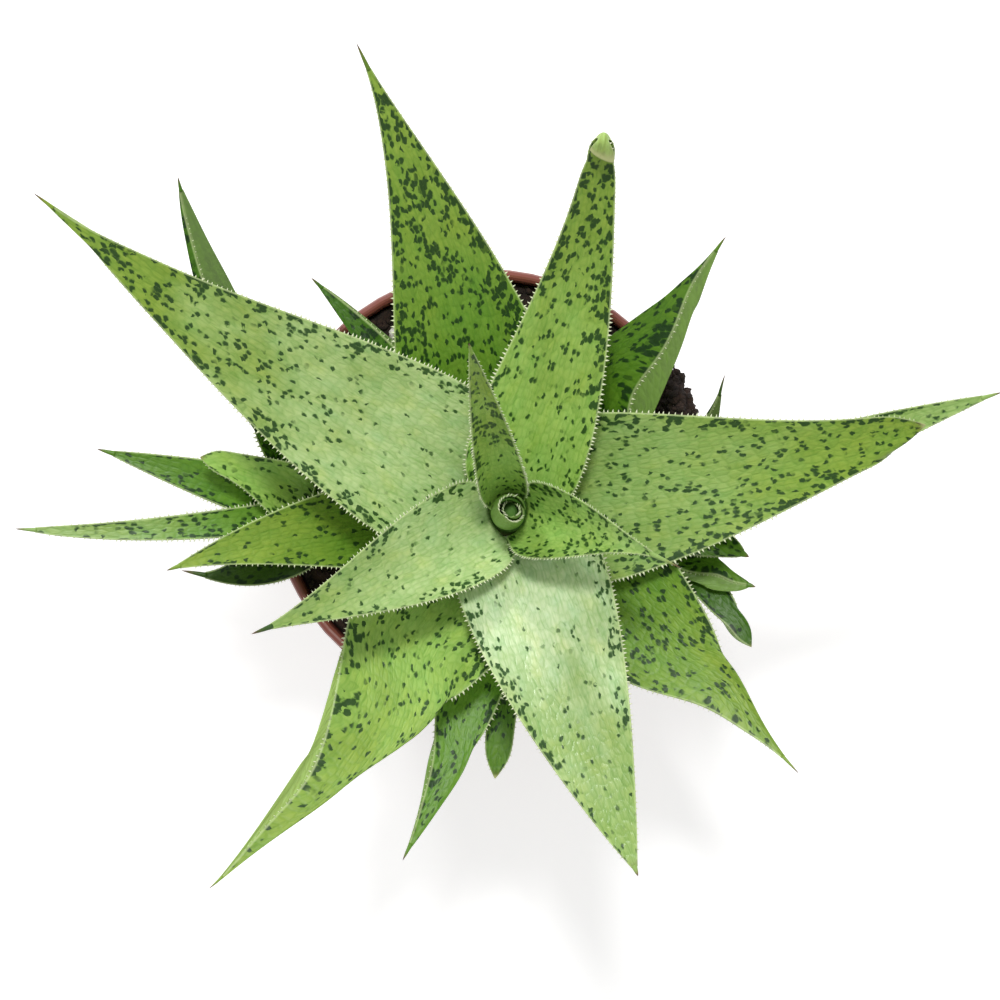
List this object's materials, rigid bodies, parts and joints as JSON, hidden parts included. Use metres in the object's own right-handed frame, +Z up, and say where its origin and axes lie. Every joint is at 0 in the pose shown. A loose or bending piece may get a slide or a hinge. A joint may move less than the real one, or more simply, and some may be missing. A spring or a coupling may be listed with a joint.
{
  "type": "potted aloe",
  "caption": "Spotted succulent rosette of broad toothed leaves with small side shoots, growing in soil in a round tapered nursery pot.",
  "frame": {"origin": "centre of the pot's base, on the plane it stands on", "axes": "+Z up along the pot's axis, +X along the widest spread of the leaves, +Y towards the leaf that ends in a blunt tip"},
  "size_m": [0.2592, 0.2157, 0.2152],
  "materials": {
    "pot_plastic": "satin",
    "potting_soil": "matte",
    "stem": "matte",
    "leaf_fresh": "satin",
    "leaf_pale": "satin",
    "leaf_green": "satin",
    "leaf_deep": "satin"
  },
  "bodies": {
    "root": {"pot": "pot_plastic", "soil": "potting_soil", "main_stem": "stem", "west_offset_stem": "stem", "east_offset_stem": "stem", "heart_leaf": "leaf_fresh", "inner_leaf_north": "leaf_fresh", "inner_leaf_east": "leaf_pale", "inner_leaf_west": "leaf_pale", "leaf_south": "leaf_pale", "leaf_north": "leaf_pale", "leaf_west": "leaf_pale", "leaf_east": "leaf_pale", "leaf_north_northwest": "leaf_green", "leaf_southwest": "leaf_green", "leaf_southeast": "leaf_green", "leaf_northeast": "leaf_green", "leaf_south_southwest": "leaf_green", "cut_leaf_south": "leaf_deep", "leaf_west_low": "leaf_green", "leaf_northwest_low": "leaf_deep", "west_offset_heart_leaf": "leaf_fresh", "west_offset_leaf_1": "leaf_green", "west_offset_leaf_2": "leaf_deep", "west_offset_leaf_3": "leaf_deep", "west_offset_leaf_4": "leaf_deep", "west_offset_leaf_5": "leaf_deep", "east_offset_heart_leaf": "leaf_fresh", "east_offset_leaf_1": "leaf_deep", "east_offset_leaf_2": "leaf_green", "east_offset_leaf_3": "leaf_deep", "east_offset_leaf_4": "leaf_green", "east_offset_leaf_5": "leaf_deep"}
  },
  "joints": []
}
